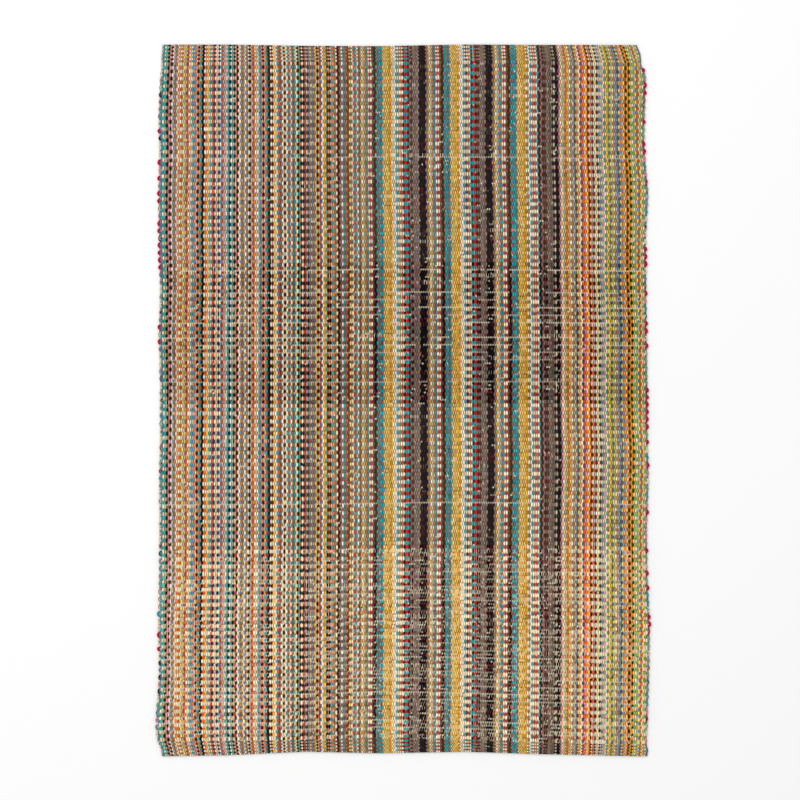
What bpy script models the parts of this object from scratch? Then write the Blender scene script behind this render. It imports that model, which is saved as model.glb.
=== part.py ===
"""A handwoven flatweave rug: one flat cloth with raised cross ribs, turned hems and looped side edges.

Metres, +Z up. The warp runs along Y and the ribs along X. The underside lies flat on z = 0, and the
origin is under the middle of the cloth. Down means from the far end (+Y) towards the near end (-Y).
"""

from typing import NamedTuple

import bmesh
import bpy

# Driving dimensions
CLOTH_WIDTH = 1.220  # usual width from side edge to side edge
RIB_CREST = 0.0068  # height of a rib's crest over the floor
RIB_GROOVE = 0.0046  # height of the groove between two ribs
HEM_CREST = 0.0066  # the hem is two thin layers, so its fine ribs stand about as high
HEM_GROOVE = 0.0056
END_HEIGHT = 0.0044  # height of the fold along each end
SIDE_HEIGHT = 0.0040  # height of the selvedge, where the weft turns round
SHOULDER = 0.009  # width over which the selvedge rises to full height
LOOP_REACH = 0.0035  # how far a weft loop stands out of the side edge
LOOP_MEAN = 0.0022  # the side edge below is measured at the middle of the loops

CLOTH_COLOUR = (0.36, 0.28, 0.20, 1.0)
CLOTH_ROUGHNESS = 0.95


class Section(NamedTuple):
    """A run of like ribs down the cloth."""

    name: str
    ribs: int
    pitch: float
    hem: bool


SECTIONS = (
    Section("far hem", 10, 0.0040, True),
    Section("first ribs", 16, 0.0091, False),
    Section("even ribs", 32, 0.0094, False),
    Section("tighter ribs", 11, 0.0092, False),
    Section("even ribs again", 22, 0.00935, False),
    Section("change of weft", 11, 0.0092, False),
    Section("loose ribs", 42, 0.0095, False),
    Section("tightening ribs", 10, 0.0093, False),
    Section("hard beaten ribs", 39, 0.0089, False),
    Section("near hem", 9, 0.0040, True),
)


class Side(NamedTuple):
    """How far the two side edges stand outside half the usual width."""

    down: float
    left: float
    right: float


SIDES = (
    Side(0.000, -0.012, -0.029),
    Side(0.020, -0.009, -0.019),
    Side(0.045, -0.006, -0.016),
    Side(0.070, -0.004, -0.006),
    Side(0.185, 0.000, -0.006),
    Side(0.245, -0.004, -0.008),
    Side(0.365, 0.000, -0.001),
    Side(0.484, 0.001, -0.003),
    Side(0.604, -0.004, -0.002),
    Side(0.724, 0.000, 0.000),
    Side(0.844, -0.002, 0.003),
    Side(0.963, -0.001, 0.002),
    Side(1.083, 0.001, 0.004),
    Side(1.203, -0.002, -0.001),
    Side(1.323, -0.001, 0.003),
    Side(1.442, 0.004, 0.008),
    Side(1.562, 0.001, 0.005),
    Side(1.682, 0.008, 0.001),
    Side(1.730, 0.003, -0.001),
    Side(1.770, -0.010, -0.006),
)


class Column(NamedTuple):
    """A line down the cloth: how far its two ends stand out past the usual length."""

    across: float
    far: float
    near: float


COLUMNS = (
    Column(-0.440, 0.002, 0.002),
    Column(-0.245, -0.001, -0.008),
    Column(-0.060, -0.002, -0.003),
    Column(0.155, 0.001, -0.008),
    Column(0.340, 0.002, 0.000),
)
FAR_CORNER = 0.002
NEAR_CORNER = 0.005


class Drift(NamedTuple):
    """How far a rib at this place down the cloth runs ahead of its line, at five places across."""

    down: float
    edge_left: float
    left: float
    middle: float
    right: float
    edge_right: float


DRIFTS = (
    Drift(0.040, -0.002, 0.000, 0.000, 0.003, -0.001),
    Drift(0.385, -0.006, -0.003, 0.001, 0.002, -0.002),
    Drift(0.685, -0.002, -0.001, 0.001, 0.000, -0.001),
    Drift(0.985, -0.005, -0.003, -0.001, 0.001, 0.002),
    Drift(1.285, -0.002, -0.001, 0.002, 0.002, -0.001),
    Drift(1.485, -0.004, -0.003, 0.004, 0.004, -0.001),
    Drift(1.730, -0.003, 0.000, 0.007, 0.001, -0.007),
)
DRIFT_ACROSS = (-0.560, -0.310, -0.060, 0.190, 0.500)

CLOTH_LENGTH = sum(section.ribs * section.pitch for section in SECTIONS)
FAR_HEM = SECTIONS[0].ribs * SECTIONS[0].pitch
NEAR_HEM = SECTIONS[-1].ribs * SECTIONS[-1].pitch


def between(places, values, at):
    """The value at a place, on straight lines between the given ones."""
    if at <= places[0]:
        return values[0]
    for low, high, first, second in zip(places, places[1:], values, values[1:]):
        if at <= high:
            return first + (second - first) * (at - low) / (high - low)
    return values[-1]


def side_edges(down):
    """The left and right edge of the cloth at this place down it, without the loops."""
    places = [side.down for side in SIDES]
    left = between(places, [side.left for side in SIDES], down)
    right = between(places, [side.right for side in SIDES], down)
    return -CLOTH_WIDTH / 2 - left, CLOTH_WIDTH / 2 + right


def end_margins(across):
    """How far the far and near ends stand out at this place across."""
    corner = CLOTH_WIDTH / 2
    places = [-corner] + [column.across for column in COLUMNS] + [corner]
    far = [FAR_CORNER] + [column.far for column in COLUMNS] + [FAR_CORNER]
    near = [NEAR_CORNER] + [column.near for column in COLUMNS] + [NEAR_CORNER]
    return between(places, far, across), between(places, near, across)


def drift(across, down):
    """How far a rib runs ahead of its line here."""
    places = [row.down for row in DRIFTS]
    after_down = range(1, len(Drift._fields))
    lines = [between(places, [row[k] for row in DRIFTS], down) for k in after_down]
    return between(DRIFT_ACROSS, lines, across)


def bent_down(across, down):
    """Where a rib's line really lies: it drifts in the body, and follows the end's edge in a hem."""
    far, near = end_margins(across)
    if down < FAR_HEM:
        share = down / FAR_HEM
        return down - far * (1 - share) - drift(across, FAR_HEM) * share
    if down > CLOTH_LENGTH - NEAR_HEM:
        share = (CLOTH_LENGTH - down) / NEAR_HEM
        return down + near * (1 - share) - drift(across, CLOTH_LENGTH - NEAR_HEM) * share
    return down - drift(across, down)


class Row(NamedTuple):
    """One line across the cloth, along a rib's crest or the groove beside it."""

    down: float
    height: float
    left_loop: float
    right_loop: float


def cloth_rows():
    """Every crest and groove down the cloth, with what the weft loops add at each side."""
    rows = []
    down = 0.0
    rib = 0
    for section in SECTIONS:
        crest = HEM_CREST if section.hem else RIB_CREST
        groove = HEM_GROOVE if section.hem else RIB_GROOVE
        for _ in range(section.ribs):
            # A loop joins two ribs, and the loops of the two sides are one rib apart.
            left = right = 0.0
            if not section.hem:
                left = -LOOP_MEAN if rib % 2 == 0 else LOOP_REACH - LOOP_MEAN
                right = LOOP_REACH - LOOP_MEAN if rib % 2 == 0 else -LOOP_MEAN
                rib += 1
            rows.append(Row(down, groove, left, right))
            middle = 0.0 if section.hem else LOOP_REACH / 2 - LOOP_MEAN
            rows.append(Row(down + section.pitch / 2, crest, middle, middle))
            down += section.pitch
    rows[0] = Row(0.0, END_HEIGHT, 0.0, 0.0)
    rows.append(Row(down, END_HEIGHT, 0.0, 0.0))
    return rows


def make_cloth():
    """The cloth's top as a grid, one line of points for each crest and groove, closed by a flat underside."""
    rows = cloth_rows()
    lines_down = len(COLUMNS) + 4  # the columns, and an edge and a shoulder at each side
    cells_across = lines_down - 1
    mesh = bpy.data.meshes.new("rug")
    bm = bmesh.new()
    bmesh.ops.create_grid(bm, x_segments=cells_across, y_segments=len(rows) - 1, size=0.5)
    top = list(bm.faces)
    for point in bm.verts:
        row = rows[round((0.5 - point.co.y) * (len(rows) - 1))]
        line = round((point.co.x + 0.5) * cells_across)
        left, right = side_edges(row.down)
        left -= row.left_loop
        right += row.right_loop
        across = [left, left + SHOULDER] + [column.across for column in COLUMNS]
        across += [right - SHOULDER, right]
        at_side = line in (0, cells_across)
        point.co.x = across[line]
        point.co.y = CLOTH_LENGTH / 2 - bent_down(across[line], row.down)
        point.co.z = SIDE_HEIGHT if at_side else row.height
    made = bmesh.ops.extrude_face_region(bm, geom=top, use_keep_orig=True)["geom"]
    for point in made:
        if isinstance(point, bmesh.types.BMVert):
            point.co.z = 0.0
    under = [face for face in made if isinstance(face, bmesh.types.BMFace)]
    bmesh.ops.dissolve_faces(bm, faces=under, use_verts=False)
    bmesh.ops.recalc_face_normals(bm, faces=bm.faces)
    centre_on_origin(bm)
    bm.to_mesh(mesh)
    bm.free()
    return bpy.data.objects.new("rug", mesh)


def centre_on_origin(bm):
    """Moves the middle of the cloth's box to x = y = 0."""
    xs = [point.co.x for point in bm.verts]
    ys = [point.co.y for point in bm.verts]
    middle = ((min(xs) + max(xs)) / 2, (min(ys) + max(ys)) / 2, 0.0)
    bmesh.ops.translate(bm, vec=[-value for value in middle], verts=bm.verts)


def cloth_material():
    """The mean colour of the striped yarns, dull as cotton."""
    material = bpy.data.materials.new("cloth")
    material.use_nodes = True
    shader = material.node_tree.nodes["Principled BSDF"]
    shader.inputs["Base Color"].default_value = CLOTH_COLOUR
    shader.inputs["Roughness"].default_value = CLOTH_ROUGHNESS
    shader.inputs["Metallic"].default_value = 0.0
    return material


def main():
    for old in list(bpy.data.objects):
        bpy.data.objects.remove(old, do_unlink=True)
    collection = bpy.data.collections.new("flatweave_rug")
    bpy.context.scene.collection.children.link(collection)
    rug = make_cloth()
    rug.data.materials.append(cloth_material())
    collection.objects.link(rug)


main()
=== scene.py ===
import math

import bmesh
import bpy
import numpy as np
from mathutils import Matrix, Vector


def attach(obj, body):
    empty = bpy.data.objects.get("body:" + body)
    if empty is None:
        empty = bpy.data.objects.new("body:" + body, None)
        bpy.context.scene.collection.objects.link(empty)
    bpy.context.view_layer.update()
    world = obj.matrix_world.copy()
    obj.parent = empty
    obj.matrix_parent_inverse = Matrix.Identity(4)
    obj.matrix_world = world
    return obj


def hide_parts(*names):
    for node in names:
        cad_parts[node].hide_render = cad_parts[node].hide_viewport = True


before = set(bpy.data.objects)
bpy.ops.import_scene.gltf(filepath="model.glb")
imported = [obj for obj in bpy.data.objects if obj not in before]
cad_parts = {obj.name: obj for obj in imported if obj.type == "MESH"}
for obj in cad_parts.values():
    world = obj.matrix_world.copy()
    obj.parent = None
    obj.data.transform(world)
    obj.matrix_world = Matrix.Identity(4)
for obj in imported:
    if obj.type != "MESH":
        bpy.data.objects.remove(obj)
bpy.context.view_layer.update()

# Everything is in metres. The warp runs along Y and the ribs along X.
# "Down" means from the far end (+Y) towards the near end (-Y); picks are numbered from 1 down the body,
# and warp ends from 0 at the left.

cloth = {
    "width": 1.220,
    "ribCrest": 0.0068,
    "ribGroove": 0.0047,
    "hemCrest": 0.0066,
    "hemGroove": 0.0056,
    "outline": 0.0030,       # height of the rounded edge's outermost line
    "underGroove": 0.0016,   # how far the grooves of the underside stand off the floor
    "shoulder": 0.0085,      # width over which a side edge rises to full height
    "fold": 0.0042,          # and an end's fold
    "lowFloat": 0.50,        # height of the valley between two floats, as a share of the rib
    "plateau": 0.22,         # half length of a float's level part, in picks
    "loopMean": 0.0009,      # how far the cloth itself ends inside the measured edge
    "yarnUneven": 0.00022,   # unevenness of single floats, of the beating and of the whole cloth
    "beatUneven": 0.00012,
    "slowUneven": 0.00012,
    "underUneven": 0.0002,
    "contrast": 1.20,        # how strongly an end's dye stands out from the ends around it
    "aroundEnds": 6,
    "dyeLots": 0.08,         # how much lighter or darker ends of one dye are
    "bands": 8,              # pieces of the top, side by side
    "seed": 12,
}

# Runs of like ribs: how many, their pitch, and whether they lie in a turned hem
sections = (
    (9, 0.004444, True),
    (16, 0.0091, False),
    (32, 0.0094, False),
    (11, 0.0092, False),
    (22, 0.00935, False),
    (11, 0.0092, False),
    (42, 0.0095, False),
    (10, 0.0093, False),
    (39, 0.0089, False),
    (8, 0.0045, True),
)
clothLength = sum(ribs * pitch for ribs, pitch, hem in sections)
farHem = sections[0][0] * sections[0][1]
nearHem = sections[-1][0] * sections[-1][1]
bodyPicks = sum(ribs for ribs, pitch, hem in sections if not hem)
pickCount = 1 + bodyPicks + sections[-1][0]

# How far the side edges stand outside half the width: down, left, right
sides = np.array((
    (0.000, -0.0095, -0.028),
    (0.020, -0.0075, -0.019),
    (0.045, -0.006, -0.016),
    (0.070, -0.004, -0.005),
    (0.185, 0.001, -0.0085),
    (0.245, -0.001, -0.0095),
    (0.365, 0.001, 0.001),
    (0.484, 0.000, -0.005),
    (0.604, -0.003, -0.004),
    (0.724, 0.000, -0.003),
    (0.844, -0.003, -0.001),
    (0.963, -0.003, -0.001),
    (1.083, -0.001, 0.002),
    (1.203, -0.001, -0.0025),
    (1.323, -0.001, -0.001),
    (1.442, 0.002, 0.005),
    (1.562, -0.0005, 0.003),
    (1.682, 0.0075, -0.001),
    (1.705, 0.0078, -0.0015),
    (1.732, 0.0045, -0.004),
    (1.752, -0.0055, 0.0005),
    (1.770, -0.008, -0.002),
))

# How far the ends stand out past the usual length: across, far, near
endLines = np.array((
    (-0.610, 0.0040, 0.0008),
    (-0.440, 0.0043, -0.0018),
    (-0.245, 0.0010, -0.0108),
    (-0.060, 0.0004, -0.0067),
    (0.155, 0.0044, -0.0106),
    (0.340, 0.0034, -0.0045),
    (0.610, 0.0030, 0.0009),
))

# How far a rib runs ahead of its line: down, then at eight places across
driftAcross = (-0.56, -0.40, -0.25, -0.06, 0.10, 0.26, 0.43, 0.56)
drifts = np.array((
    (0.040, -0.0003, 0.0013, 0.0013, 0.0009, 0.0037, 0.0058, 0.0010, -0.0014),
    (0.135, -0.0004, 0.0012, 0.0019, 0.0014, 0.0031, 0.0033, -0.0012, -0.0035),
    (0.195, 0.0017, 0.0027, 0.0023, 0.0024, 0.0028, 0.0019, -0.0016, -0.0032),
    (0.254, 0.0029, 0.0013, 0.0026, 0.0036, 0.0033, 0.0024, 0.0003, -0.0011),
    (0.294, -0.0012, -0.0017, 0.0008, 0.0034, 0.0031, 0.0028, 0.0004, -0.0013),
    (0.334, -0.0031, -0.0030, 0.0000, 0.0032, 0.0031, 0.0030, 0.0003, -0.0015),
    (0.434, -0.0030, -0.0008, 0.0012, 0.0050, 0.0047, 0.0053, 0.0022, -0.0010),
    (0.494, -0.0008, -0.0001, 0.0006, 0.0049, 0.0035, 0.0034, 0.0012, -0.0011),
    (0.674, -0.0011, 0.0005, 0.0009, 0.0024, 0.0021, 0.0011, 0.0005, -0.0007),
    (0.794, 0.0006, 0.0004, 0.0007, 0.0012, 0.0024, 0.0026, 0.0023, 0.0004),
    (0.865, 0.0019, 0.0016, 0.0019, 0.0025, 0.0038, 0.0035, 0.0026, 0.0003),
    (0.913, 0.0026, 0.0029, 0.0029, 0.0037, 0.0043, 0.0041, 0.0043, 0.0023),
    (0.943, 0.0005, 0.0014, 0.0015, 0.0034, 0.0044, 0.0040, 0.0053, 0.0029),
    (1.033, -0.0033, -0.0011, -0.0017, 0.0017, 0.0041, 0.0043, 0.0053, 0.0022),
    (1.180, -0.0016, -0.0008, -0.0007, 0.0023, 0.0044, 0.0028, 0.0028, -0.0020),
    (1.280, 0.0001, 0.0005, 0.0006, 0.0024, 0.0025, 0.0018, 0.0005, -0.0022),
    (1.340, -0.0001, 0.0007, -0.0004, 0.0028, 0.0022, 0.0018, 0.0011, -0.0011),
    (1.392, -0.0026, -0.0017, -0.0007, 0.0064, 0.0059, 0.0044, 0.0035, 0.0001),
    (1.512, -0.0004, -0.0004, 0.0014, 0.0073, 0.0060, 0.0024, 0.0011, -0.0020),
    (1.690, 0.0006, 0.0019, 0.0040, 0.0103, 0.0079, 0.0021, -0.0036, -0.0049),
    (1.730, 0.0007, 0.0024, 0.0043, 0.0107, 0.0078, 0.0015, -0.0044, -0.0061),
))

# How far the warp leans sideways: down, then at six places across; the side edges give the rest
leanAcross = (-0.56, -0.3126, -0.0132, 0.2862, 0.47, 0.5856)
leans = np.array((
    (0.000, 0.0080, -0.0033, -0.0052, -0.0074, -0.0172, -0.0234),
    (0.040, 0.0055, -0.0010, -0.0042, -0.0049, -0.0069, -0.0081),
    (0.135, 0.0033, 0.0002, -0.0036, -0.0051, -0.0065, -0.0073),
    (0.195, 0.0032, 0.0002, -0.0038, -0.0055, -0.0069, -0.0076),
    (0.262, 0.0052, 0.0000, -0.0039, -0.0056, -0.0066, -0.0067),
    (0.337, 0.0027, 0.0002, -0.0031, -0.0042, -0.0034, -0.0022),
    (0.434, 0.0006, 0.0003, -0.0016, -0.0021, -0.0018, -0.0016),
    (0.488, 0.0016, 0.0010, -0.0005, -0.0019, -0.0024, -0.0029),
    (0.560, 0.0031, 0.0007, -0.0003, -0.0016, -0.0026, -0.0030),
    (0.711, 0.0002, 0.0000, 0.0003, 0.0006, 0.0017, 0.0023),
    (0.861, 0.0016, 0.0000, 0.0001, 0.0001, 0.0002, 0.0000),
    (0.950, 0.0008, -0.0006, -0.0002, 0.0002, 0.0017, 0.0025),
    (1.009, -0.0004, -0.0008, 0.0003, 0.0019, 0.0040, 0.0057),
    (1.100, -0.0011, 0.0000, 0.0009, 0.0016, 0.0029, 0.0040),
    (1.160, -0.0003, 0.0002, 0.0006, -0.0001, 0.0011, 0.0018),
    (1.312, -0.0007, -0.0015, -0.0010, -0.0013, 0.0009, 0.0030),
    (1.461, -0.0044, -0.0024, -0.0012, -0.0003, 0.0021, 0.0038),
    (1.603, -0.0038, -0.0024, -0.0018, -0.0014, 0.0003, 0.0013),
    (1.660, -0.0058, -0.0025, -0.0026, -0.0018, 0.0002, 0.0013),
    (1.730, -0.0024, -0.0024, -0.0030, -0.0019, -0.0002, 0.0008),
    (1.770, 0.0075, -0.0004, -0.0020, -0.0020, -0.0020, -0.0022),
))

# The yarns on the warp, by a letter: sRGB
yarns = {
    "K": (48, 40, 40),      # black
    "N": (41, 37, 46),      # navy
    "D": (85, 60, 32),      # dark brown
    "U": (109, 93, 82),     # dark taupe
    "A": (129, 113, 107),   # taupe
    "M": (103, 33, 37),     # maroon
    "P": (101, 52, 93),      # plum
    "V": (99, 107, 149),     # violet
    "L": (130, 138, 169),   # lilac
    "S": (110, 143, 159),   # slate
    "T": (10, 160, 170),    # teal
    "E": (36, 174, 166),    # sea green
    "G": (150, 171, 92),    # leaf green
    "g": (179, 212, 148),   # pale green
    "O": (243, 127, 8),    # orange
    "F": (227, 100, 41),     # flame
    "J": (233, 129, 82),    # salmon
    "B": (187, 87, 70),     # brick
    "R": (211, 14, 36),     # red
    "I": (210, 133, 154),   # pink
    "Y": (223, 195, 94),    # yellow
    "W": (238, 175, 7),    # amber
    "Q": (204, 151, 24),    # mustard
    "H": (212, 179, 103),    # straw
    "C": (220, 208, 186),   # cream
    "X": (217, 196, 168),   # beige
    "Z": (178, 168, 147),   # greige
    "e": (181, 120, 53),    # rust
    "o": (143, 131, 96),    # olive
    "m": (150, 110, 120),   # mauve
}

# The warping plan, stripe by stripe: the ends raised on odd picks, and those raised on even picks
warpStripes = (
    ("left selvedge", "", "X"),
    ("teal and black", "SCZoKZeXCX", "TEKICLXJeY"),
    ("orange and teal", "ZBCXZJKTKC", "ZOZTLZJoKF"),
    ("plum checks", "XXCFCXCBZC", "WTAPZPTIZT"),
    ("black checks", "SCZZKCeZLC", "KTKBCLoCeN"),
    ("orange line", "ZBCCTJZTKC", "ZOZZLKJUDM"),
    ("amber lines", "XCTACDCBCA", "WCFAXXTZAT"),
    ("brown and slate", "HKeCBZLHLW", "CTKKUDAAAZ"),
    ("violet line", "KBCQTJZJoM", "HVCWDDToCM"),
    ("plain taupe", "ACTFUAZTCA", "AAAUYCBZAQ"),
    ("first red line", "CZoCCUDATT", "ZeTRUDTAAH"),
    ("first gold", "HHHWCCCCC", "HHQCCToBDR"),
    ("first black", "TTUDAAAKKK", "MAAAAKKKAQ"),
    ("second red line", "ACZSCCUDTA", "ZeTRUDATAH"),
    ("second gold", "THHHQCCCCC", "HHWCCTUBTT"),
    ("second black", "DRMDAAAKKK", "AAAAUKKKAQ"),
    ("third red line", "ACZeCCUDTT", "ZSTRUDAATH"),
    ("third gold", "AHHHQoCCCC", "HHWCCTBBTM"),
    ("third black", "DAMDAUAZKA", "AUAAUKKNIY"),
    ("orange squares", "CZeYCZLYCU", "ZOZeZUJCFO"),
    ("pink and plum", "ICFCZCCXXg", "WDFPYPTICY"),
    ("green and slate", "SWVGeLUSZF", "GYCZSYJYDO"),
    ("yellow edge", "GDGGYFXC", "YCZSYGS"),
    ("right selvedge", "m", ""),
)

# Where the ends lie at mid length: end number, metres across
warpPlaces = np.array((
    (-1, -0.6078),
    (0, -0.6063),
    (20, -0.5505),
    (81, -0.3804),
    (100, -0.3263),
    (113, -0.2893),
    (129, -0.2453),
    (145, -0.2013),
    (177, -0.1114),
    (209, -0.0218),
    (240, 0.0669),
    (273, 0.1582),
    (305, 0.2468),
    (337, 0.3367),
    (370, 0.4287),
    (398, 0.5055),
    (420, 0.5669),
    (435, 0.6070),
    (436, 0.6085),
))

# The strands of the bundled weft: sRGB
weftColours = {
    "cream": (245, 236, 206),
    "olive": (122, 114, 84),
    "maroon": (118, 22, 38),
    "navy": (40, 42, 66),
    "dark": (32, 28, 26),
    "teal": (60, 130, 130),
    "crimson": (165, 24, 60),
    "pink": (205, 130, 130),
}

# How the weft shows from a given pick on: its mean share of the gaps between the floats and how unevenly
# it is spread there, its colours on odd and on even picks; bare in the grooves as short dashes of mixed
# colours, and as long broken lines after even and odd picks. The tint is how light or dark the cloth is
# there, and the contrast sets its yarns apart.
plainRuns = {"dark": 0.45, "maroon": 0.30, "olive": 0.20, "cream": 0.05}
plainDashes = {"cream": 0.22, "dark": 0.26, "maroon": 0.22, "crimson": 0.16, "olive": 0.14}
weftZones = (
    {"from": -12, "gaps": 0.30, "spread": 2.0, "odd": plainRuns, "even": plainRuns,
     "dashes": 0.10, "dashColours": plainDashes, "lines": (0.0, 0.0),
     "tint": (1.00, 0.97, 0.93), "contrast": 1.00},
    {"from": 1, "gaps": 0.50, "spread": 2.6, "odd": plainRuns, "even": plainRuns,
     "dashes": 0.24, "dashColours": plainDashes, "lines": (0.03, 0.0),
     "tint": (0.97, 0.97, 0.97), "contrast": 1.00},
    {"from": 55, "gaps": 0.60, "spread": 2.6, "odd": {"maroon": 0.35, "navy": 0.30, "dark": 0.35},
     "even": {"dark": 0.50, "maroon": 0.35, "cream": 0.15},
     "dashes": 0.30, "dashColours": plainDashes, "lines": (0.55, 0.0),
     "tint": (0.88, 0.84, 0.76), "contrast": 1.18},
    {"from": 93, "gaps": 0.50, "spread": 2.6, "odd": plainRuns, "even": plainRuns,
     "dashes": 0.24, "dashColours": plainDashes, "lines": (0.05, 0.0),
     "tint": (1.08, 1.08, 1.04), "contrast": 1.00},
    {"from": 130, "gaps": 0.50, "spread": 1.0, "odd": {"cream": 0.80, "olive": 0.12, "teal": 0.08},
     "even": {"crimson": 0.25, "maroon": 0.25, "cream": 0.30, "olive": 0.20},
     "dashes": 0.70, "dashColours": {"cream": 0.52, "crimson": 0.18, "maroon": 0.18, "dark": 0.12},
     "lines": (0.60, 0.30), "tint": (1.13, 1.08, 0.95), "contrast": 1.15},
    {"from": 184, "gaps": 0.30, "spread": 2.0, "odd": plainRuns, "even": plainRuns,
     "dashes": 0.10, "dashColours": plainDashes, "lines": (0.0, 0.0),
     "tint": (1.06, 1.03, 0.97), "contrast": 1.00},
)
farthestPick = weftZones[0]["from"]

weftShow = {
    "gapRun": (8, 70),         # over how many ends a gap's weft keeps its colour
    "gapRange": (0.6, 1.3),    # and how its share varies from run to run
    "dashRun": (1, 4),         # the same for the bare dashes in the grooves
    "dashRange": (0.4, 1.0),
    "evenLine": ("cream", 0.4, 0.8),   # a long line's colour, and the least and most of it that shows
    "oddLine": ("pink", 0.3, 0.5),
    "lineKnots": 9,            # ends from one break to the next, about
    "lineFrom": -0.2,          # lower for longer dashes
    "besideRaised": 0.2,       # share of the bare weft that is left beside every other end
}


def linear(colour):
    # sRGB 0-255 to Blender's scene values
    share = np.asarray(colour, dtype=float) / 255
    return np.where(share <= 0.04045, share / 12.92, ((share + 0.055) / 1.055) ** 2.4)


def along(table, column, at):
    return np.interp(at, table[:, 0], table[:, column])


def roundedUp(share):
    # a quarter circle's rise, from 0 at the edge to 1
    share = np.clip(share, 0.0, 1.0)
    return np.sqrt(1 - (1 - share) ** 2)


def softNoise(rng, rows, columns, stepDown, stepAcross):
    # smooth noise of about -1 to 1 on a grid, from coarse random knots
    knotsDown = int(rows / stepDown) + 3
    knotsAcross = int(columns / stepAcross) + 3
    knots = rng.uniform(-1, 1, (knotsDown, knotsAcross))
    down = np.arange(rows) / stepDown
    across = np.arange(columns) / stepAcross
    rowLow = down.astype(int)
    columnLow = across.astype(int)
    rowShare = (down - rowLow)[:, None]
    columnShare = (across - columnLow)[None, :]
    upper = knots[rowLow][:, columnLow] * (1 - columnShare) + knots[rowLow][:, columnLow + 1] * columnShare
    lower = knots[rowLow + 1][:, columnLow] * (1 - columnShare)
    lower = lower + knots[rowLow + 1][:, columnLow + 1] * columnShare
    return upper * (1 - rowShare) + lower * rowShare


def readPlan():
    # the end order: a left selvedge end, then one end for odd picks and one for even picks in turn
    raisedOnOdd = "".join(stripe[1] for stripe in warpStripes)
    raisedOnEven = "".join(stripe[2] for stripe in warpStripes)
    order = [raisedOnEven[0]]
    for first, second in zip(raisedOnOdd, raisedOnEven[1:] + " "):
        order += [first, second]
    return [letter for letter in order if letter != " "]


warpEnds = readPlan()
endCount = len(warpEnds)
print("warp ends", endCount)


def clothRows(perPick):
    # each line across the cloth: how far down it lies, its pick coordinate, and whether it is hem
    lines = []
    down = 0.0
    pick = 1 - sections[0][0]
    for ribs, pitch, hem in sections:
        for _ in range(ribs):
            lines.append((down, pick - 0.5, hem))
            reach = cloth["plateau"] if perPick == 3 and not hem else 0.0
            for side in ((-1, 1) if reach else (0,)):
                lines.append((down + pitch * (0.5 + side * reach), pick + side * reach, hem))
            down += pitch
            pick += 1
    lines.append((down, pick - 0.5, True))
    step = 0.0007  # a line close to each end rounds its fold
    lines.insert(1, (step, lines[0][1] + 0.15, True))
    lines.insert(-1, (down - step, lines[-1][1] - 0.15, True))
    return np.array(lines)


def clothColumns():
    # the pick coordinate's partner: one column for each end, and two at each side edge
    inner = np.arange(endCount, dtype=float)
    return np.concatenate(([-1.0, -0.6], inner, [endCount - 0.4, float(endCount)]))


def sideEdges(down, hem):
    loop = cloth["loopMean"] * (1 - hem)
    left = -cloth["width"] / 2 - along(sides, 1, down) + loop
    right = cloth["width"] / 2 + along(sides, 2, down) - loop
    return left, right


def layOut(rows, columns):
    # X and Y of each crossing, one row of the arrays for each line across
    downs, picks, hems = rows.T
    resting = along(warpPlaces, 1, columns)
    xs = np.empty((len(rows), len(columns)))
    ys = np.empty_like(xs)
    for number, (down, hem) in enumerate(zip(downs, hems)):
        left, right = sideEdges(down, hem)
        places = (resting[0],) + leanAcross + (resting[-1],)
        leansHere = [along(leans, column, down) for column in range(1, len(leanAcross) + 1)]
        shifts = [left - resting[0]] + leansHere + [right - resting[-1]]
        across = resting + np.interp(resting, places, shifts)
        across = np.clip(across, left, right)
        xs[number] = across
        far = along(endLines, 1, across)
        near = along(endLines, 2, across)
        capped = min(max(down, farHem), clothLength - nearHem)
        ahead = [along(drifts, column, capped) for column in range(1, len(driftAcross) + 1)]
        ahead = np.interp(across, driftAcross, ahead)
        if down < farHem:
            share = down / farHem
            bent = down - far * (1 - share) - ahead * share
        elif down > clothLength - nearHem:
            share = (clothLength - down) / nearHem
            bent = down + near * (1 - share) - ahead * share
        else:
            bent = down - ahead
        ys[number] = clothLength / 2 - bent
    return xs, ys


def edgeRise(rows, xs):
    # 0 on the outline to 1 inside, rounded over the side edges and the folded ends
    fromSide = np.minimum(xs - xs[:, :1], xs[:, -1:] - xs)
    fromEnd = np.minimum(rows[:, 0], clothLength - rows[:, 0])[:, None]
    return roundedUp(fromSide / cloth["shoulder"]) * roundedUp(fromEnd / cloth["fold"])


def raised(rows, columns):
    # 1 where an end floats over its pick, -1 where it dives under, 0 in the grooves
    return np.cos(np.pi * (rows[:, 1][:, None] + columns[None, :]))


def topHeights(rows, columns, xs, rng):
    hem = rows[:, 2][:, None]
    inPick = np.abs(np.cos(np.pi * rows[:, 1]))[:, None]
    rib = np.minimum(1.0, inPick / math.cos(math.pi * cloth["plateau"]))
    lift = raised(rows, columns)
    share = cloth["lowFloat"] + (1 - cloth["lowFloat"]) * (lift > 0)
    crest = cloth["ribCrest"] * (1 - hem) + cloth["hemCrest"] * hem
    groove = cloth["ribGroove"] * (1 - hem) + cloth["hemGroove"] * hem
    # uneven yarn, uneven beating and a slow unevenness of the whole cloth
    yarn = rng.uniform(-1, 0, lift.shape) * cloth["yarnUneven"]
    beat = rng.uniform(-1, 0, (lift.shape[0], 1)) * cloth["beatUneven"]
    slow = (softNoise(rng, *lift.shape, 40, 30) - 1) * cloth["slowUneven"]
    heights = groove + (crest - groove) * rib * share + yarn + beat + slow
    low = cloth["outline"]
    return low + (heights - low) * edgeRise(rows, xs)


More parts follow.
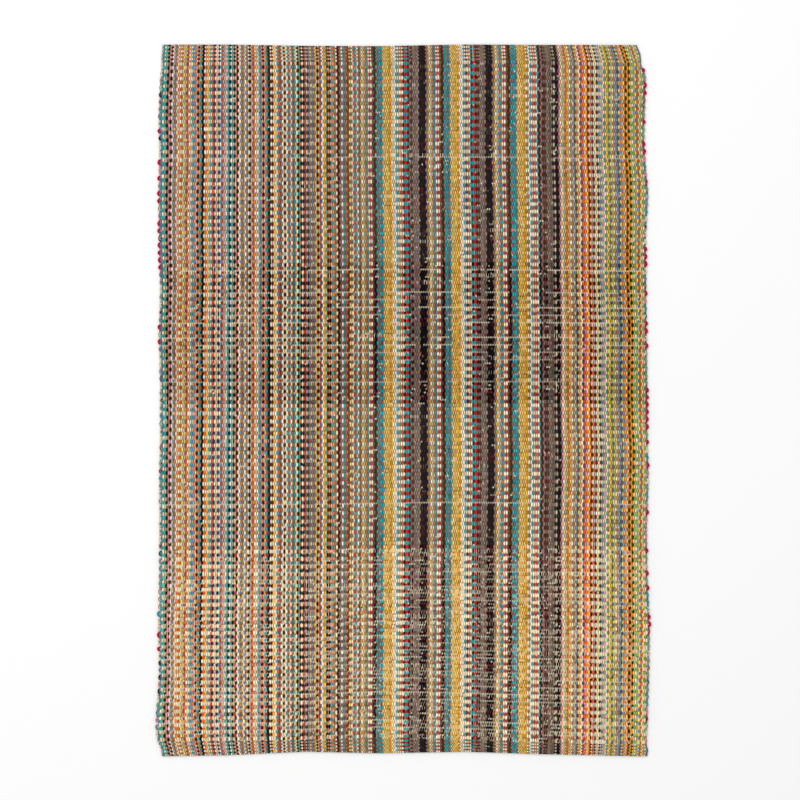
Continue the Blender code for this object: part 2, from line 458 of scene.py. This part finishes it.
def underHeights(rows, xs, rng):
    hem = rows[:, 2][:, None]
    inPick = np.abs(np.cos(np.pi * rows[:, 1]))[:, None]
    groove = cloth["underGroove"] * (1 - 0.5 * hem)
    heights = groove * (1 - inPick) + rng.uniform(0, 1, xs.shape) * cloth["underUneven"]
    low = cloth["outline"]
    return low + (heights - low) * edgeRise(rows, xs)


def smoothNormals(xs, ys, zs, facing):
    # the whole sheet's own normals, so that two bands meet without a crease
    sideways = np.stack([np.gradient(part, axis=1) for part in (xs, ys, zs)], axis=-1)
    lengthways = np.stack([np.gradient(part, axis=0) for part in (xs, ys, zs)], axis=-1)
    normals = np.cross(lengthways, sideways) * facing
    length = np.linalg.norm(normals, axis=-1, keepdims=True)
    return normals / np.maximum(length, 1e-12)


def gridMesh(name, cellsAcross, cellsDown):
    # a flat grid and, for each vertex and each face, its column and row
    mesh = bpy.data.meshes.new(name)
    bm = bmesh.new()
    bmesh.ops.create_grid(bm, x_segments=cellsAcross, y_segments=cellsDown, size=0.5)
    bm.to_mesh(mesh)
    bm.free()
    places = np.empty(len(mesh.vertices) * 3)
    mesh.vertices.foreach_get("co", places)
    places = places.reshape(-1, 3)
    columns = np.rint((places[:, 0] + 0.5) * cellsAcross).astype(int)
    rows = np.rint((0.5 - places[:, 1]) * cellsDown).astype(int)
    return mesh, rows, columns


def cornersOf(mesh):
    corners = np.empty(len(mesh.loops), dtype=int)
    mesh.loops.foreach_get("vertex_index", corners)
    return corners


def addUv(mesh, name, us, vs):
    layer = mesh.uv_layers.new(name=name)
    layer.uv.foreach_set("vector", np.stack((us, vs), axis=-1).astype(np.float32).ravel())


def addColour(mesh, name, colours):
    layer = mesh.color_attributes.new(name, "FLOAT_COLOR", "CORNER")
    layer.data.foreach_set("color", colours.astype(np.float32).ravel())


def newPiece(mesh, material):
    piece = bpy.data.objects.new(mesh.name, mesh)
    bpy.context.scene.collection.objects.link(piece)
    mesh.materials.append(material)
    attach(piece, "root")
    return piece


def yarnTable(rng):
    # each end's colour, set off a little from the mean of the ends around it; no two are dyed quite alike
    table = np.array([yarns[letter] for letter in warpEnds], dtype=float)
    reach = cloth["aroundEnds"]
    padded = np.pad(table, ((reach, reach), (0, 0)), mode="edge")
    around = np.mean([padded[step:step + endCount] for step in range(2 * reach + 1)], axis=0)
    table = np.clip(around + cloth["contrast"] * (table - around), 4, 255)
    return linear(table) * rng.uniform(1 - cloth["dyeLots"], 1 + cloth["dyeLots"], (endCount, 1))


def zoneAt(pick):
    return [zone for zone in weftZones if pick >= zone["from"]][-1]


def chosenColour(rng, shares):
    weights = np.array(list(shares.values()))
    name = list(shares)[int(rng.choice(len(shares), p=weights / weights.sum()))]
    return linear(weftColours[name])


def gapTable(rng):
    # for each pick and end: the weft that shows over the lowered end, and how much of it
    table = np.zeros((pickCount, endCount, 4))
    for pick in range(pickCount):
        zone = zoneAt(pick)
        shares = zone["odd"] if pick % 2 else zone["even"]
        end = 0
        while end < endCount:
            run = int(rng.integers(*weftShow["gapRun"]))
            table[pick, end:end + run, :3] = chosenColour(rng, shares)
            table[pick, end:end + run, 3] = zone["gaps"] * rng.uniform(*weftShow["gapRange"])
            end += run
        # a wide spread leaves most gaps without it and a few full of it, with the same mean
        table[pick, :, 3] *= (1 + zone["spread"]) * rng.random(endCount) ** zone["spread"]
    table[..., 3] = np.clip(table[..., 3], 0, 1)
    return table


def strandTable(rng):
    # for each groove (between pick q and q + 1) and end: a strand of weft that lies bare, and how much
    table = np.zeros((pickCount, endCount, 4))
    for pick in range(pickCount):
        zone = zoneAt(pick)
        end = 0
        while end < endCount:
            run = int(rng.integers(*weftShow["dashRun"]))
            if rng.random() < zone["dashes"]:
                table[pick, end:end + run, :3] = chosenColour(rng, zone["dashColours"])
                table[pick, end:end + run, 3] = rng.uniform(*weftShow["dashRange"])
            end += run
        if rng.random() < zone["lines"][pick % 2]:
            bare = softNoise(rng, 1, endCount, 1, weftShow["lineKnots"])[0] > weftShow["lineFrom"]
            name, least, most = weftShow["oddLine" if pick % 2 else "evenLine"]
            table[pick, bare, :3] = linear(weftColours[name])
            table[pick, bare, 3] = rng.uniform(least, most)
    # it shows most beside every second end
    below = (np.arange(pickCount)[:, None] + np.arange(endCount)[None, :]) % 2
    table[..., 3] *= rng.uniform(0.6, 1.0, table.shape[:2]) * (1 - (1 - weftShow["besideRaised"]) * below)
    return table


def litYarns(ends, contrast, tint):
    # the yarns in their zone's light
    mean = yarnColours.mean(axis=0)
    return np.clip(mean + contrast * (yarnColours[ends] - mean), 0.002, 1.0) * tint


def faceColours(facePick, faceEnd, rng):
    # for each face: the yarns of its left and right column, the weft in its gap and in its groove
    here = np.clip(faceEnd, 0, endCount - 1)
    after = np.clip(faceEnd + 1, 0, endCount - 1)
    pick = np.rint(facePick).astype(int)
    lowered = np.where((pick + here) % 2, here, after)
    zones = [zoneAt(number) for number in range(farthestPick, pickCount)]
    contrast = np.array([zone["contrast"] for zone in zones])[pick - farthestPick, None]
    tint = np.array([zone["tint"] for zone in zones])[pick - farthestPick]
    tint = tint * (1 + 0.07 * rng.uniform(-1, 1, (len(pick), 1)))
    groove = np.clip(np.floor(facePick).astype(int), 0, pickCount - 1)
    return {
        "yarnHere": litYarns(here, contrast, tint),
        "yarnNext": litYarns(after, contrast, tint),
        "weft": gapWefts[np.clip(pick, 0, pickCount - 1), lowered],
        "strand": bareWefts[groove, here],
    }


def addWeave(mesh, rows, columns, vertexRow, vertexColumn, folds, pairs, rng):
    # the UV map of ends and picks, the bake map, and the colours of yarn and weft
    corners = cornersOf(mesh)
    cornerRow = vertexRow[corners].reshape(-1, 4)
    cornerColumn = vertexColumn[corners].reshape(-1, 4)
    faceRow = cornerRow.min(axis=1)
    faceColumn = cornerColumn.min(axis=1)
    facePick = (rows[faceRow, 1] + rows[faceRow + 1, 1]) / 2
    picks = rows[cornerRow, 1]
    if pairs:  # a column for every second end: both ends of a face share its width
        faceEnd = np.rint(columns[faceColumn]).astype(int)
        ends = faceEnd[:, None] - faceEnd[:, None] % 2 + (cornerColumn - faceColumn[:, None]) * 0.999
    else:
        faceEnd = np.floor(columns[faceColumn]).astype(int)
        ends = columns[cornerColumn]
    # the length is folded side by side, so that the baked picture is about as fine both ways
    perFold = -(-(len(rows) - 1) // folds)
    fold = faceRow // perFold
    gutter = 0.004
    acrossShare = cornerColumn / (len(columns) - 1)
    downShare = (cornerRow - fold[:, None] * perFold) / perFold
    us = (fold[:, None] + gutter * folds + acrossShare * (1 - 2 * gutter * folds)) / folds
    vs = 1 - gutter - downShare * (1 - 2 * gutter)
    addUv(mesh, "OFBake", us.ravel(), vs.ravel())
    addUv(mesh, "weave", ends.ravel(), picks.ravel())
    for name, colour in faceColours(facePick, faceEnd, rng).items():
        full = np.ones((len(facePick), 4, 4))
        full[:, :, :colour.shape[1]] = colour[:, None, :]
        addColour(mesh, name, full)


def shapeGrid(mesh, places, normals, vertexRow, vertexColumn):
    xs, ys, zs = places
    moved = np.stack([part[vertexRow, vertexColumn] for part in (xs, ys, zs)], axis=-1)
    mesh.vertices.foreach_set("co", moved.astype(np.float32).ravel())
    mesh.shade_smooth()
    mesh.update()
    mesh.normals_split_custom_set_from_vertices(normals[vertexRow, vertexColumn])


class Knot:
    # one shader value; sums on it add Math nodes

    def __init__(self, finish, socket):
        self.finish = finish
        self.socket = socket

    def maths(self, operation, *values):
        return self.finish.add("ShaderNodeMath", {"operation": operation}, dict(enumerate(values)))

    def __add__(self, other):
        return self.maths("ADD", self, other)

    def __radd__(self, other):
        return self.maths("ADD", other, self)

    def __sub__(self, other):
        return self.maths("SUBTRACT", self, other)

    def __rsub__(self, other):
        return self.maths("SUBTRACT", other, self)

    def __mul__(self, other):
        return self.maths("MULTIPLY", self, other)

    def __rmul__(self, other):
        return self.maths("MULTIPLY", other, self)

    def __truediv__(self, other):
        return self.maths("DIVIDE", self, other)

    def __rtruediv__(self, other):
        return self.maths("DIVIDE", other, self)

    def __abs__(self):
        return self.maths("ABSOLUTE", self)

    def floor(self):
        return self.maths("FLOOR", self)

    def cosine(self):
        return self.maths("COSINE", self)

    def sine(self):
        return self.maths("SINE", self)

    def root(self):
        return self.maths("SQRT", self)

    def clamped(self):
        return self.finish.add("ShaderNodeClamp", {}, {"Value": self})


class Finish:
    # a material under construction

    def __init__(self, name):
        self.material = bpy.data.materials.new(name)
        self.material.use_nodes = True
        self.tree = self.material.node_tree
        self.shader = self.tree.nodes["Principled BSDF"]

    def add(self, kind, settings, values, output=0):
        node = self.tree.nodes.new(kind)
        for name, value in settings.items():
            setattr(node, name, value)
        for name, value in values.items():
            self.plug(node.inputs[name], value)
        return Knot(self, node.outputs[output])

    def plug(self, socket, value):
        if isinstance(value, Knot):
            self.tree.links.new(value.socket, socket)
        else:
            socket.default_value = value

    def split(self, vector):
        return [self.add("ShaderNodeSeparateXYZ", {}, {"Vector": vector}, axis) for axis in "XYZ"]

    def mix(self, factor, first, second, blend="MIX"):
        settings = {"data_type": "RGBA", "blend_type": blend}
        return self.add("ShaderNodeMix", settings, {0: factor, 6: first, 7: second}, 2)

    def read(self, name, output="Color"):
        return self.add("ShaderNodeAttribute", {"attribute_name": name}, {}, output)

    def grey(self, value):
        return self.add("ShaderNodeCombineColor", {}, {"Red": value, "Green": value, "Blue": value})

    def dullYarn(self, colour, height, strength, relief):
        # the shader's own sockets, the same for the cloth and the weft's turns
        bump = self.add("ShaderNodeBump", {}, {"Strength": strength, "Distance": relief, "Height": height})
        self.plug(self.shader.inputs["Base Color"], colour)
        self.plug(self.shader.inputs["Roughness"], 0.93)
        self.plug(self.shader.inputs["Specular IOR Level"], 0.1)
        self.plug(self.shader.inputs["Normal"], bump)


weaveLook = {
    "valley": 0.18,        # share of an end's width in which the lowered yarn shows
    "squareness": 0.75,    # how soon a float has its full width: higher is sooner
    "softEdge": 0.08,      # softness of the line between two yarns
    "gapPaintedShade": 0.70,       # how dark the painted shade in the gap between two floats is
    "gapStart": 0.50,      # where that painted shade begins, in ends from the float's middle
    "gapWidth": 0.34,
    "floatTone": 0.44,     # how much lighter or darker single floats are
    "floatHue": 0.14,
    "plies": 5.0,          # turns of the plied strands in one pick
    "plySlope": 1.5,
    "plyDark": 0.10,
    "fibre": 0.16,         # flecks from uneven dye
    "fleckDensity": (3.0, 4.0),   # to an end's width and to a pick
    "weftStart": 0.72,     # where the weft begins between two floats, in ends from a float's middle
    "weftWidth": 0.20,
    "strandWidth": 0.28,   # half height of the weft that lies bare in a groove, in picks
    "strandEdge": 1.8,     # higher for a harder edge
    # painted shade along each groove between picks, tinted yellow, multiplied into the colour there
    "grooveShadeTint": (0.90, 0.84, 0.64, 1.0),
    "relief": 0.0008,
    "reliefShares": (0.70, 0.10, 0.35),   # of the float's round, of its plies and of the flecks
}


def clothFinish():
    finish = Finish("wovenCotton")
    look = weaveLook
    place = finish.add("ShaderNodeUVMap", {"uv_map": "weave"}, {})
    across, down, _ = finish.split(place)
    end = across.floor()
    share = across - end
    lift = ((down + end) * math.pi).cosine()

    # the raised yarn takes most of the width, and the lowered one shows in the valley beside it
    swing = (0.5 + lift * look["squareness"]).clamped()
    border = look["valley"] + swing * (1 - 2 * look["valley"])
    isHere = (0.5 + (border - share) / look["softEdge"]).clamped()
    fromCentre = share - (1 - isHere)
    raisedHere = (0.5 + lift * 6.0).clamped()
    fromRaised = abs(share - (1 - raisedHere))
    colour = finish.mix(isHere, finish.read("yarnNext"), finish.read("yarnHere"))

    # each float is a little lighter or darker, its plied strands run across it at a slant, and the gap
    # beside it is darkened with painted shade
    pick = (down + 0.5).floor()
    shown = end + (1 - isHere + 0.5).floor()
    cell = finish.add("ShaderNodeCombineXYZ", {}, {"X": shown, "Y": pick})
    noise = {"noise_dimensions": "2D"}
    chance = finish.add("ShaderNodeTexWhiteNoise", noise, {"Vector": cell}, "Value")
    hue = finish.add("ShaderNodeTexWhiteNoise", noise, {"Vector": cell}, "Color")
    colour = finish.mix(look["floatHue"], colour, hue, "OVERLAY")
    ply = ((down * look["plies"] + fromCentre * look["plySlope"] + chance) * (2 * math.pi)).sine()
    perEnd, perPick = look["fleckDensity"]
    stretched = finish.add("ShaderNodeCombineXYZ", {}, {"X": across * perEnd, "Y": down * perPick})
    fleck = finish.add(
        "ShaderNodeTexNoise", {}, {"Vector": stretched, "Scale": 1.0, "Detail": 2.0, "Roughness": 0.6}
    )
    tone = 1 + (chance - 0.5) * look["floatTone"] + ply * look["plyDark"]
    tone = tone + (fleck - 0.5) * (2 * look["fibre"])
    # painted shade in the gap between two floats: the colour there is darkened
    gapShade = ((fromRaised - look["gapStart"]) / look["gapWidth"]).clamped()
    tone = tone * (1 - gapShade * look["gapPaintedShade"])
    colour = finish.mix(1.0, colour, finish.grey(tone), "MULTIPLY")

    # the weft between the floats and bare in the groove, where it shows
    bottom = ((fromRaised - look["weftStart"]) / look["weftWidth"]).clamped()
    colour = finish.mix(bottom * finish.read("weft", "Alpha"), colour, finish.read("weft"))
    fromGroove = abs(down - down.floor() - 0.5)
    near = (1 - fromGroove / look["strandWidth"]).clamped()
    # painted shade along the groove, tinted yellow
    colour = finish.mix(near, colour, look["grooveShadeTint"], "MULTIPLY")
    bare = (near * look["strandEdge"]).clamped() * finish.read("strand", "Alpha")
    colour = finish.mix(bare, colour, finish.read("strand"))

    rounded = (1 - fromRaised * fromRaised).clamped().root()
    ofRound, ofPlies, ofFlecks = look["reliefShares"]
    height = rounded * ofRound + ply * ofPlies + fleck * ofFlecks
    finish.dullYarn(colour, height, 0.8, look["relief"])
    return finish.material


selvedge = {
    "strandRadius": 0.0015,
    "ringSides": 7,
    "steps": 8,
    "halfHeights": (0.0062, 0.0034),   # half of what an outer and an inner strand span along the edge
    "reaches": (0.0007, -0.0014),      # how far they stand out of the mean edge
    "root": 0.0056,                    # how far inside it they come out of the cloth
    "levels": (0.0025, 0.0048),        # heights of the lower and the upper strand
    "strayReach": 0.0026,              # how much further a stray turn sticks out
    "sameColour": 0.65,                # share of a turn's strands that have its own colour
    "uneven": 0.0005,
    "fleckScale": 900.0,
    "relief": 0.0005,
}

# The turning wefts: sRGB, how often at the left and at the right
turnColours = (
    ("grey", (150, 142, 130), 8, 4),
    ("cream", (216, 206, 176), 7, 4),
    ("crimson", (175, 20, 60), 1, 1),
    ("black", (46, 40, 44), 2, 1),
    ("mauve", (150, 110, 130), 2, 1),
    ("green", (120, 160, 112), 1, 5),
    ("teal", (64, 140, 150), 2, 3),
    ("pink", (214, 130, 140), 1, 3),
)

# Stretches where turns of one colour stick out further: side (-1 left, 1 right), from and to metres down,
# the share of turns that do, colour
strayStretches = (
    (-1, 0.18, 0.75, 0.35, "crimson"),
    (-1, 1.35, 1.39, 0.50, "crimson"),
    (-1, 1.40, 1.42, 1.00, "teal"),
    (-1, 1.45, 1.66, 0.12, "crimson"),
    (1, 0.05, 0.27, 0.30, "crimson"),
    (1, 0.50, 0.99, 0.45, "crimson"),
    (1, 1.04, 1.56, 0.15, "crimson"),
)


def strandMesh(halfHeight):
    # one half ring of weft, standing out to -X, its ends tucked into the cloth
    mesh = bpy.data.meshes.new("weftTurn")
    bm = bmesh.new()
    ring = bmesh.ops.create_circle(bm, segments=selvedge["ringSides"], radius=selvedge["strandRadius"])
    bmesh.ops.rotate(
        bm, verts=ring["verts"], cent=(0, 0, 0), matrix=Matrix.Rotation(math.pi / 2, 3, "Y")
    )
    bmesh.ops.translate(bm, verts=ring["verts"], vec=(0, halfHeight, 0))
    bmesh.ops.spin(
        bm, geom=bm.edges[:], cent=(0, 0, 0), axis=(0, 0, 1), angle=math.pi, steps=selvedge["steps"]
    )
    bmesh.ops.recalc_face_normals(bm, faces=bm.faces)
    bm.to_mesh(mesh)
    bm.free()
    return mesh


def loopFinish():
    finish = Finish("weftTurns")
    colour = finish.read("yarn")
    place = finish.add("ShaderNodeTexCoord", {}, {}, "Object")
    scale = selvedge["fleckScale"]
    fleck = finish.add("ShaderNodeTexNoise", {}, {"Vector": place, "Scale": scale, "Detail": 2.0})
    tone = 0.75 + fleck * 0.5
    colour = finish.mix(1.0, colour, finish.grey(tone), "MULTIPLY")
    finish.dullYarn(colour, fleck, 0.6, selvedge["relief"])
    return finish.material


def turnPlaces(rows):
    # each turn's side and groove: every second pick, and one pick later on the right
    for side, first in ((-1, 1.5), (1, 2.5)):
        for groove in np.arange(first, bodyPicks, 2.0):
            yield side, groove, np.interp(groove, rows[:, 1], rows[:, 0])


def strayColours(side, down, rng):
    # the colours that stick out further here, if any
    return [
        name for where, start, stop, often, name in strayStretches
        if where == side and start <= down <= stop and rng.random() < often
    ]


def strandPlace(side, mean, y, level, tip, halfHeight, longer, rng):
    # where a strand's half ring goes, and how far it is stretched out and along the edge
    uneven = selvedge["uneven"]
    place = Matrix.Translation(Vector((
        mean - side * selvedge["root"], y + rng.uniform(-uneven, uneven),
        level + rng.uniform(-0.6 * uneven, 0.6 * uneven),
    )))
    stretch = (tip + selvedge["root"]) / (halfHeight + selvedge["strandRadius"])
    return place @ Matrix.Diagonal(Vector((-side * stretch, longer * rng.uniform(0.93, 1.07), 1.0, 1.0)))


def addStrand(whole, scratch, template, place):
    single = bmesh.new()
    single.from_mesh(template)
    bmesh.ops.transform(single, matrix=place, verts=single.verts)
    bmesh.ops.recalc_face_normals(single, faces=single.faces)
    single.to_mesh(scratch)
    single.free()
    whole.from_mesh(scratch)


def bakeSquares(mesh):
    # every face has its own small square in the bake map
    faces = len(mesh.polygons)
    perLine = math.ceil(math.sqrt(faces))
    number = np.arange(faces)
    square = np.array(((0.1, 0.1), (0.9, 0.1), (0.9, 0.9), (0.1, 0.9)))
    us = (number % perLine)[:, None] + square[None, :, 0]
    vs = (number // perLine)[:, None] + square[None, :, 1]
    addUv(mesh, "OFBake", us.ravel() / perLine, vs.ravel() / perLine)


def makeLoops(rows, xs, ys, material, rng):
    # the weft turns back at a side edge in bundles of four strands
    templates = [strandMesh(height) for height in selvedge["halfHeights"]]
    scratch = bpy.data.meshes.new("scratch")
    whole = bmesh.new()
    colours = []
    names = [name for name, colour, atLeft, atRight in turnColours]
    byName = {name: linear(colour) for name, colour, atLeft, atRight in turnColours}
    for side, groove, down in turnPlaces(rows):
        edge = 0 if side < 0 else -1
        mean = np.interp(groove, rows[:, 1], xs[:, edge]) + side * cloth["loopMean"]
        y = np.interp(groove, rows[:, 1], ys[:, edge])
        odds = np.array([row[2 if side < 0 else 3] for row in turnColours])
        odds = odds / odds.sum()
        stray = strayColours(side, down, rng)
        chosen = stray[0] if stray else names[int(rng.choice(len(odds), p=odds))]
        extra = selvedge["strayReach"] if stray else 0.0
        longer = rng.uniform(0.82, 1.15)
        for template, halfHeight, reach in zip(templates, selvedge["halfHeights"], selvedge["reaches"]):
            for level in selvedge["levels"]:
                tip = reach + extra + rng.uniform(-0.0006, 0.0005)
                place = strandPlace(side, mean, y, level, tip, halfHeight, longer, rng)
                addStrand(whole, scratch, template, place)
                other = names[int(rng.choice(len(odds), p=odds))]
                same = rng.random() < selvedge["sameColour"] or stray
                colours.append(byName[chosen if same else other])
    mesh = bpy.data.meshes.new("selvedgeLoops")
    whole.to_mesh(mesh)
    whole.free()
    full = np.ones((len(mesh.loops), 4))
    full[:, :3] = np.repeat(np.array(colours), len(scratch.loops), axis=0)
    addColour(mesh, "yarn", full)
    bakeSquares(mesh)
    mesh.shade_smooth()
    for used in (*templates, scratch):
        bpy.data.meshes.remove(used)
    return newPiece(mesh, material)


def makeTop(material, rng):
    rows = clothRows(3)
    columns = clothColumns()
    xs, ys = layOut(rows, columns)
    zs = topHeights(rows, columns, xs, rng)
    middle = (ys.max() + ys.min()) / 2
    ys = ys - middle
    normals = smoothNormals(xs, ys, zs, 1)
    pieces = []
    borders = np.rint(np.linspace(0, len(columns) - 1, cloth["bands"] + 1)).astype(int)
    for number, (first, last) in enumerate(zip(borders, borders[1:])):
        part = slice(first, last + 1)
        mesh, vertexRow, vertexColumn = gridMesh(f"cloth_{number + 1}", last - first, len(rows) - 1)
        addWeave(mesh, rows, columns[part], vertexRow, vertexColumn, 4, False, rng)
        places = [values[:, part] for values in (xs, ys, zs)]
        shapeGrid(mesh, places, normals[:, part], vertexRow, vertexColumn)
        pieces.append(newPiece(mesh, material))
    return pieces, rows, xs, ys, middle


def makeUnderside(material, middle, rng):
    rows = clothRows(2)
    inner = np.arange(0.0, endCount, 2.0)
    columns = np.concatenate(([-1.0], inner, [float(endCount)]))
    xs, ys = layOut(rows, columns)
    ys = ys - middle
    zs = underHeights(rows, xs, rng)
    mesh, vertexRow, vertexColumn = gridMesh("cloth_underside", len(columns) - 1, len(rows) - 1)
    addWeave(mesh, rows, columns, vertexRow, vertexColumn, 1, True, rng)
    normals = smoothNormals(xs, ys, zs, -1)
    shapeGrid(mesh, (xs, ys, zs), normals, vertexRow, vertexColumn)
    return newPiece(mesh, material)


stage = {
    "floorSize": 14.0,
    "floorColour": (0.95, 0.95, 0.948, 1.0),
    "sky": 0.74,
    "keyPower": 250.0,
    "keySize": 6.0,
    "keyPlace": (-2.8, 3.2, 6.4),
    "cameraHeight": 4.7,
    "view": (-0.0082, 0.0009),   # what the middle of the picture looks at
    "seen": 1.996,               # width of the floor in the picture
}


def makeStage():
    mesh = bpy.data.meshes.new("floor")
    bm = bmesh.new()
    bmesh.ops.create_grid(bm, x_segments=1, y_segments=1, size=stage["floorSize"] / 2)
    bm.to_mesh(mesh)
    bm.free()
    finish = Finish("paleFloor")
    finish.plug(finish.shader.inputs["Base Color"], stage["floorColour"])
    finish.plug(finish.shader.inputs["Roughness"], 0.9)
    mesh.materials.append(finish.material)
    floor = bpy.data.objects.new("floor", mesh)
    floor.location.z = -0.0004
    bpy.context.scene.collection.objects.link(floor)


def makeLights():
    world = bpy.data.worlds.new("softRoom")
    world.use_nodes = True
    world.node_tree.nodes["Background"].inputs["Color"].default_value = (1.0, 1.0, 1.0, 1.0)
    world.node_tree.nodes["Background"].inputs["Strength"].default_value = stage["sky"]
    bpy.context.scene.world = world
    light = bpy.data.lights.new("key", "AREA")
    light.shape = "DISK"
    light.size = stage["keySize"]
    light.energy = stage["keyPower"]
    lamp = bpy.data.objects.new("key", light)
    lamp.location = stage["keyPlace"]
    lamp.rotation_euler = (-Vector(stage["keyPlace"])).to_track_quat("-Z", "Y").to_euler()
    bpy.context.scene.collection.objects.link(lamp)


def makeCamera():
    camera = bpy.data.cameras.new("camera")
    camera.sensor_width = 36.0
    camera.lens = 36.0 * stage["cameraHeight"] / stage["seen"]
    holder = bpy.data.objects.new("camera", camera)
    holder.location = (*stage["view"], stage["cameraHeight"])
    bpy.context.scene.collection.objects.link(holder)
    bpy.context.scene.camera = holder


rng = np.random.default_rng(cloth["seed"])
yarnColours = yarnTable(rng)
gapWefts = gapTable(rng)
bareWefts = strandTable(rng)
clothMaterial = clothFinish()
topPieces, topRows, topXs, topYs, middleY = makeTop(clothMaterial, rng)
print("woven top made in", len(topPieces), "bands")
underside = makeUnderside(clothMaterial, middleY, rng)
print("underside made")
loops = makeLoops(topRows, topXs, topYs, loopFinish(), rng)
print("weft turns made")

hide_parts("rug")
topPieces + [loops]
makeStage()
makeLights()
makeCamera()
bpy.context.scene.view_settings.view_transform = "Standard"
print("stage, lights and camera made")
